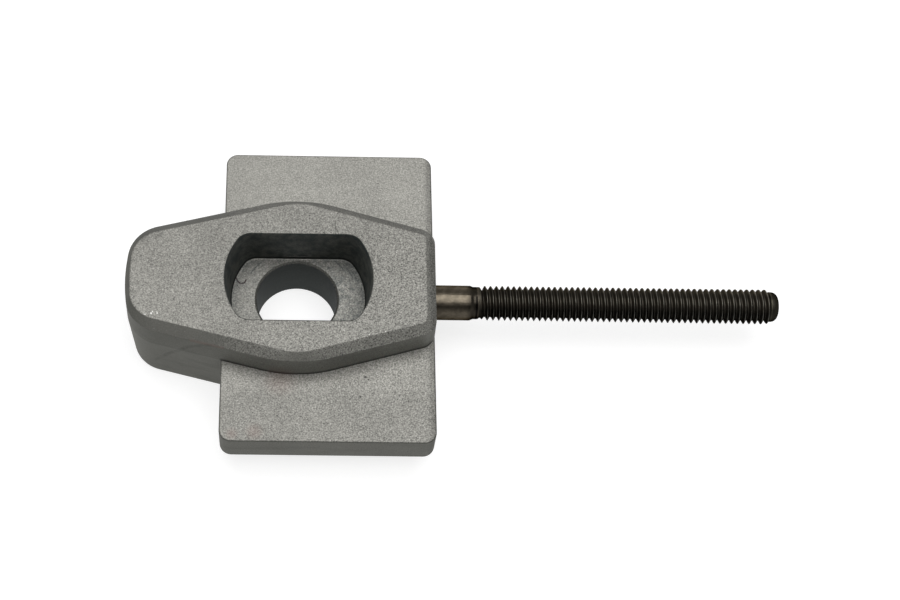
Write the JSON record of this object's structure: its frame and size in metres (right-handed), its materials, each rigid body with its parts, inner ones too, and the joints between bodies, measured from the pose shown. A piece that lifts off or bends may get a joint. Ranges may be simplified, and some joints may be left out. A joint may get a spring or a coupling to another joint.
{
  "type": "motorcycle chain adjuster",
  "caption": "Cast block with a flange plate and an axle bore in a flat-sided pocket, with a threaded adjusting stud in its end.",
  "frame": {"origin": "axis of the axle bore at the block's back face", "axes": "+Z along the axle bore, out of the pocket; +X along the stud, away from the block"},
  "size_m": [0.111, 0.0538, 0.0188],
  "materials": {
    "cast_aluminium": "cast and bead-blasted, matt grey",
    "stud_steel": "rolled thread, oiled dark steel"
  },
  "bodies": {
    "root": {"adjuster_block": "cast_aluminium", "adjuster_stud": "stud_steel"}
  },
  "joints": []
}
